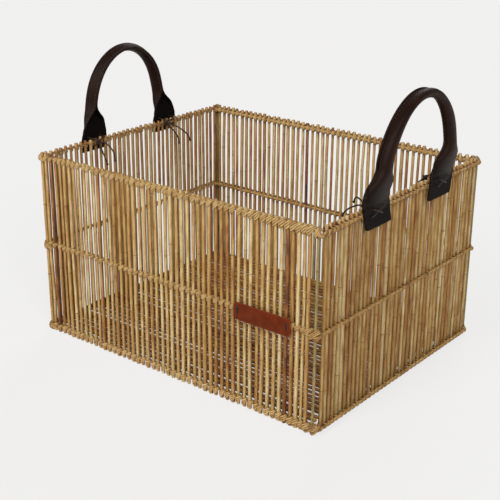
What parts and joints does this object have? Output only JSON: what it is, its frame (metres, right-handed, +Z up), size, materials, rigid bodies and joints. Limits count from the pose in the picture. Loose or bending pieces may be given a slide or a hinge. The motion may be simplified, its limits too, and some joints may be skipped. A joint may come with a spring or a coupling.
{
  "type": "wicker crate basket",
  "caption": "Open rectangular storage basket of upright wicker sticks lashed to rods, with rolled leather handles that fold at their laced tabs, and a blank leather label.",
  "frame": {"origin": "the middle of the basket's plan, on the surface that it stands on", "axes": "+X runs along the long front wall, from the handle on the left to the handle on the right; -Y faces out of the front wall, which carries the label; +Z is up"},
  "size_m": [0.4964, 0.3718, 0.377],
  "materials": {
    "straw": "smooth rattan sticks, satin, in straw, honey and brown, with darker nodes and specks",
    "lashing": "split rattan wrapped in leaning turns, satin to matt",
    "base": "brown rattan sticks, satin",
    "olive": "thin olive brown lacquer over steel rod, slightly worn",
    "leather": "dark espresso leather with a soft sheen and fine grain",
    "lace": "thin dark brown leather lace, matt, rubbed along its edges",
    "label": "rust brown leather, bare, with a paler cut edge",
    "thread": "waxed black thread"
  },
  "bodies": {
    "basket": {"front_wall_sticks": "straw", "front_rim_rod": "lashing", "front_foot_rod": "lashing", "front_rim_lashing": "lashing", "front_band_lashing": "lashing", "front_foot_lashing": "lashing", "right_wall_sticks": "straw", "right_rim_rod": "lashing", "right_foot_rod": "lashing", "right_rim_lashing": "lashing", "right_band_lashing": "lashing", "right_foot_lashing": "lashing", "back_wall_sticks": "straw", "back_rim_rod": "lashing", "back_foot_rod": "lashing", "back_rim_lashing": "lashing", "back_band_lashing": "lashing", "back_foot_lashing": "lashing", "left_wall_sticks": "straw", "left_rim_rod": "lashing", "left_foot_rod": "lashing", "left_rim_lashing": "lashing", "left_band_lashing": "lashing", "left_foot_lashing": "lashing", "corner_post_front_left": "olive", "corner_post_front_right": "olive", "corner_post_back_left": "olive", "corner_post_back_right": "olive", "base_sticks": "base", "base_bearer_left": "base", "base_bearer_right": "base", "handle_tab_right_front": "leather", "handle_tab_right_back": "leather", "handle_tab_left_front": "leather", "handle_tab_left_back": "leather", "lace_right_front": "lace", "lace_right_back": "lace", "lace_left_front": "lace", "lace_left_back": "lace", "lace_tail_right_front_a": "lace", "lace_tail_right_front_b": "lace", "lace_tail_right_back_a": "lace", "lace_tail_right_back_b": "lace", "lace_tail_left_front_a": "lace", "lace_tail_left_front_b": "lace", "lace_tail_left_back_a": "lace", "lace_tail_left_back_b": "lace", "label": "label", "label_stitch_left": "thread", "label_stitch_right": "thread"},
    "handle_right": {"handle_grip_right": "leather"},
    "handle_left": {"handle_grip_left": "leather"}
  },
  "joints": [
    {"name": "handle_right_fold", "type": "hinge", "parent": "basket", "child": "handle_right", "pos_m": [0.2342, 0, 0.262], "axis": [0, 1, 0], "range_deg": [-90, 110]},
    {"name": "handle_left_fold", "type": "hinge", "parent": "basket", "child": "handle_left", "pos_m": [-0.2342, 0, 0.262], "axis": [0, -1, 0], "range_deg": [-90, 110]}
  ]
}
